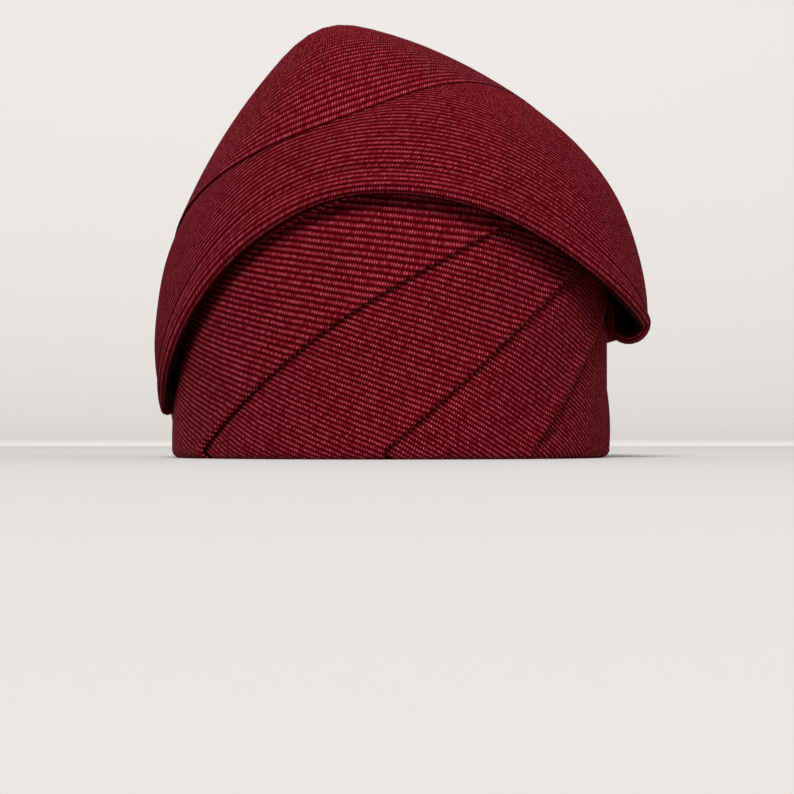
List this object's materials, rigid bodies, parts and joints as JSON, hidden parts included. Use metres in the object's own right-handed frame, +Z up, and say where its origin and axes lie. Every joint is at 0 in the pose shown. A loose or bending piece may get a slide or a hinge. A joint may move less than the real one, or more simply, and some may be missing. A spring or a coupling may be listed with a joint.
{
  "type": "draped toque hat",
  "caption": "Soft ribbed toque with a side band of diagonal pleats and an asymmetric crown drape rolled under at its edge.",
  "frame": {"origin": "middle of the hat's box, on the surface that its hem rests on", "axes": "+Z up, -Y towards the front of the hat, +X towards the wearer's left, which is the viewer's right"},
  "size_m": [0.1976, 0.2199, 0.1718],
  "materials": {
    "band_cloth": "matt burgundy ribbed cloth",
    "sweep_cloth": "matt burgundy ribbed cloth",
    "peak_cloth": "matt burgundy ribbed cloth"
  },
  "bodies": {
    "root": {"band_pleat_1": "band_cloth", "band_pleat_2": "band_cloth", "band_pleat_3": "band_cloth", "band_pleat_4": "band_cloth", "band_pleat_5": "band_cloth", "band_pleat_6": "band_cloth", "band_pleat_7": "band_cloth", "band_pleat_8": "band_cloth", "crown_sweep": "sweep_cloth", "crown_peak": "peak_cloth"}
  },
  "joints": []
}
